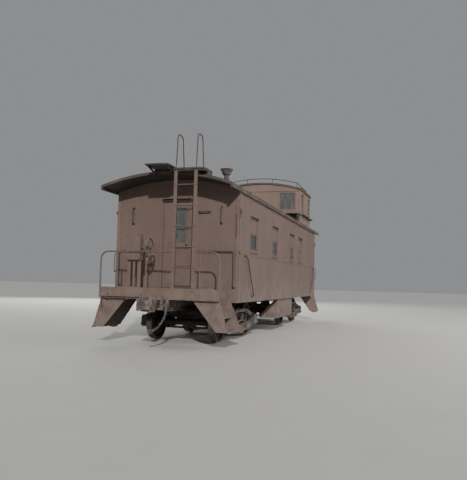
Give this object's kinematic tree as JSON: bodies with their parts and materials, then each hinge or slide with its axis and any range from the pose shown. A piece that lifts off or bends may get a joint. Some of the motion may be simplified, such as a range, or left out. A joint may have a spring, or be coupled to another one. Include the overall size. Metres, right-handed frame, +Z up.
{
  "type": "cupola caboose",
  "caption": "Riveted steel railway caboose with open end platforms, roof ladders, a cupola near one end, underfloor tool boxes and four-wheel trucks.",
  "frame": {"origin": "middle of the car, on the plane of the wheel flange tips", "axes": "+X along the car to the cupola end, +Y across it, +Z up"},
  "size_m": [13.214, 3.21, 4.9588],
  "materials": {
    "oxide_paint": "weathered flat",
    "roof_paint": "sooted flat",
    "sash_paint": "weathered flat",
    "window_glass": "dusty",
    "deck_planks": "weathered",
    "walk_planks": "weathered",
    "floor_boards": "worn",
    "underbody": "dirty flat",
    "truck_iron": "dirty rough",
    "spring_steel": "dirty",
    "wheel_steel": "rusty, bright treads",
    "coupler_steel": "rusty rough",
    "cast_wheel": "dull",
    "handhold_iron": "hand-worn",
    "sooted_iron": "sooted",
    "hose_rubber": "dusty"
  },
  "bodies": {
    "car": {"air_hose_a": "hose_rubber", "air_hose_b": "hose_rubber", "angle_cocks": "cast_wheel", "brake_gear": "underbody", "brake_stands": "oxide_paint", "brake_wheels": "cast_wheel", "couplers": "coupler_steel", "cupola_boards": "walk_planks", "cupola_rail": "handhold_iron", "cupola_roof": "roof_paint", "cupola_walls": "oxide_paint", "decks": "deck_planks", "end_rails": "handhold_iron", "end_sills": "oxide_paint", "end_wall_a": "oxide_paint", "end_wall_b": "oxide_paint", "floor": "floor_boards", "glad_hand_a": "cast_wheel", "glad_hand_b": "cast_wheel", "grab_irons": "handhold_iron", "ladders": "oxide_paint", "roof": "roof_paint", "roof_walk": "walk_planks", "side_left": "oxide_paint", "side_right": "oxide_paint", "smokejack": "sooted_iron", "steps": "oxide_paint", "tool_boxes": "oxide_paint", "underframe": "underbody", "window_glass": "window_glass", "window_sashes": "sash_paint"},
    "truck_a": {"truck_sides_a": "truck_iron", "truck_bolster_a": "truck_iron", "springs_a": "spring_steel"},
    "truck_b": {"truck_sides_b": "truck_iron", "truck_bolster_b": "truck_iron", "springs_b": "spring_steel"},
    "axle_1": {"wheelset_1": "wheel_steel"},
    "axle_2": {"wheelset_2": "wheel_steel"},
    "axle_3": {"wheelset_3": "wheel_steel"},
    "axle_4": {"wheelset_4": "wheel_steel"},
    "end_door_a": {"door_a": "oxide_paint", "door_glass_a": "window_glass"},
    "end_door_b": {"door_b": "oxide_paint", "door_glass_b": "window_glass"},
    "coupler_knuckle_a": {"knuckle_a": "coupler_steel"},
    "coupler_knuckle_b": {"knuckle_b": "coupler_steel"},
    "box_door_right": {"tool_door_right": "oxide_paint"},
    "box_door_left": {"tool_door_left": "oxide_paint"}
  },
  "joints": [
    {"name": "truck_a_swivel", "type": "hinge", "parent": "car", "child": "truck_a", "pos_m": [-3.24, 0, 0.69], "axis": [0, 0, 1], "range_deg": [-6, 6]},
    {"name": "truck_b_swivel", "type": "hinge", "parent": "car", "child": "truck_b", "pos_m": [3.24, 0, 0.69], "axis": [0, 0, 1], "range_deg": [-6, 6]},
    {"name": "axle_1_roll", "type": "hinge", "parent": "truck_a", "child": "axle_1", "pos_m": [-4.307, 0, 0.446], "axis": [0, 1, 0], "continuous": true},
    {"name": "axle_2_roll", "type": "hinge", "parent": "truck_a", "child": "axle_2", "pos_m": [-2.173, 0, 0.446], "axis": [0, 1, 0], "continuous": true},
    {"name": "axle_3_roll", "type": "hinge", "parent": "truck_b", "child": "axle_3", "pos_m": [2.173, 0, 0.446], "axis": [0, 1, 0], "continuous": true},
    {"name": "axle_4_roll", "type": "hinge", "parent": "truck_b", "child": "axle_4", "pos_m": [4.307, 0, 0.446], "axis": [0, 1, 0], "continuous": true},
    {"name": "door_a_swing", "type": "hinge", "parent": "car", "child": "end_door_a", "pos_m": [-5.006, 0.3175, 2.2], "axis": [0, 0, 1], "range_deg": [0, 100]},
    {"name": "door_b_swing", "type": "hinge", "parent": "car", "child": "end_door_b", "pos_m": [5.006, -0.3175, 2.2], "axis": [0, 0, 1], "range_deg": [0, 100]},
    {"name": "knuckle_a_open", "type": "hinge", "parent": "car", "child": "coupler_knuckle_a", "pos_m": [-6.485, -0.078, 0.903], "axis": [0, 0, 1], "range_deg": [0, 50]},
    {"name": "knuckle_b_open", "type": "hinge", "parent": "car", "child": "coupler_knuckle_b", "pos_m": [6.485, 0.078, 0.903], "axis": [0, 0, 1], "range_deg": [0, 50]},
    {"name": "box_door_right_lift", "type": "hinge", "parent": "car", "child": "box_door_right", "pos_m": [0, -1.409, 0.893], "axis": [-1, 0, 0], "range_deg": [0, 90]},
    {"name": "box_door_left_lift", "type": "hinge", "parent": "car", "child": "box_door_left", "pos_m": [0, 1.409, 0.893], "axis": [1, 0, 0], "range_deg": [0, 90]}
  ]
}
